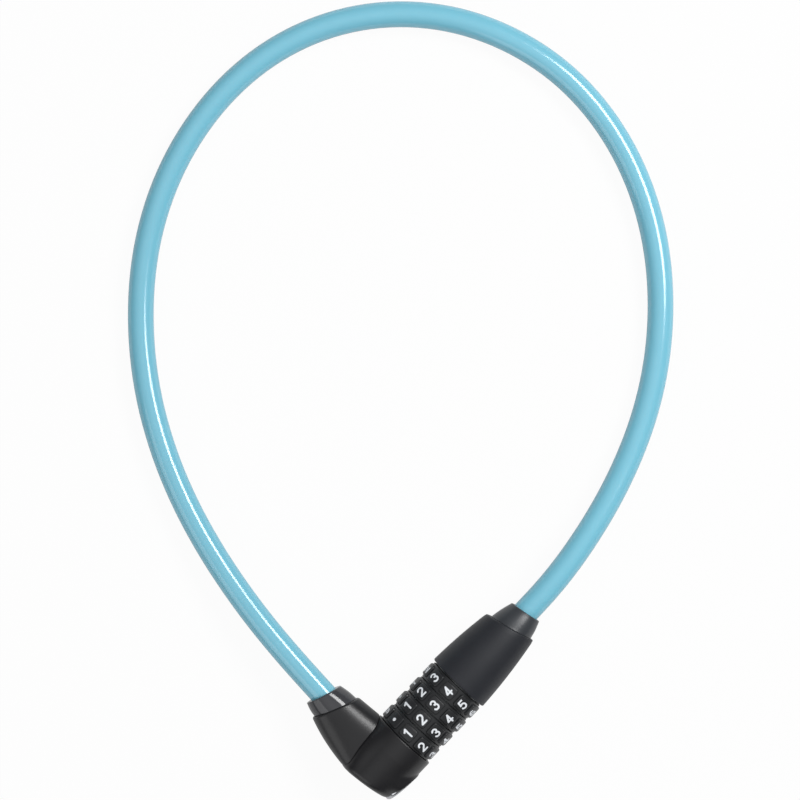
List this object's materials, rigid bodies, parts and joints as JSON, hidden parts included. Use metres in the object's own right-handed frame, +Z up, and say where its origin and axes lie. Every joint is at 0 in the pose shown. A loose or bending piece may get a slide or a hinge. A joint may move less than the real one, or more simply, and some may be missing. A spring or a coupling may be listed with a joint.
{
  "type": "cable lock",
  "caption": "Bicycle cable lock: vinyl-coated steel cable loop, elbow lock body with turning number dials and a plug whose pin slides out when the code is set.",
  "frame": {"origin": "on the surface that the lock lies on, under the middle of the lock body and plug's box, without the cable", "axes": "+X along the dials' axis from the elbow to the plug, +Y along the elbow's branch towards the loop, +Z up"},
  "size_m": [0.2051, 0.1935, 0.0212],
  "materials": {
    "cable_vinyl": "glossy translucent light-blue vinyl",
    "steel_rope": "laid steel wire",
    "black_plastic": "fine satin grain",
    "barrel_plastic": "fine satin grain",
    "dial_plastic": "satin",
    "digit_white": "printed, matte",
    "elbow_collar_plastic": "smooth, glossy",
    "plug_collar_plastic": "smooth, semi-gloss",
    "bright_cap": "bright nickel plate",
    "zinc_casting": "plain die-cast zinc",
    "crimped_ferrule": "crimped",
    "steel_pin": "ground",
    "spring_steel": "plain"
  },
  "bodies": {
    "lock_body": {"cable_sleeve": "cable_vinyl", "wire_rope": "steel_rope", "base_cover": "black_plastic", "base_block": "zinc_casting", "branch_cover": "black_plastic", "elbow_collar": "elbow_collar_plastic", "heel_cap": "bright_cap", "elbow_ferrule": "crimped_ferrule", "ferrule_pin": "steel_pin", "core_tube": "zinc_casting", "core_pin": "steel_pin", "spacer_washers": "spring_steel", "retaining_ring": "spring_steel", "detent_balls": "steel_pin", "detent_springs": "spring_steel"},
    "dial_1": {"number_ring_1": "dial_plastic", "gate_wheel_1": "zinc_casting"},
    "dial_2": {"number_ring_2": "dial_plastic", "gate_wheel_2": "zinc_casting"},
    "dial_3": {"number_ring_3": "dial_plastic", "gate_wheel_3": "zinc_casting"},
    "dial_4": {"number_ring_4": "dial_plastic", "gate_wheel_4": "zinc_casting"},
    "plug": {"plug_barrel": "barrel_plastic", "plug_insert": "zinc_casting", "locking_pin": "steel_pin", "plug_collar": "plug_collar_plastic", "plug_ferrule": "crimped_ferrule", "plug_cross_pin": "steel_pin"}
  },
  "joints": [
    {"name": "dial_1_turn", "type": "hinge", "parent": "lock_body", "child": "dial_1", "pos_m": [-0.01501, -0.00916, 0.0106], "axis": [1, 0, 0], "continuous": true},
    {"name": "dial_2_turn", "type": "hinge", "parent": "lock_body", "child": "dial_2", "pos_m": [-0.00911, -0.00916, 0.0106], "axis": [1, 0, 0], "continuous": true},
    {"name": "dial_3_turn", "type": "hinge", "parent": "lock_body", "child": "dial_3", "pos_m": [-0.00321, -0.00916, 0.0106], "axis": [1, 0, 0], "continuous": true},
    {"name": "dial_4_turn", "type": "hinge", "parent": "lock_body", "child": "dial_4", "pos_m": [0.00269, -0.00916, 0.0106], "axis": [1, 0, 0], "continuous": true},
    {"name": "plug_pull", "type": "slide", "parent": "lock_body", "child": "plug", "axis": [1, 0, 0], "range_m": [0, 0.04], "deforming": ["cable_sleeve", "wire_rope"]}
  ]
}
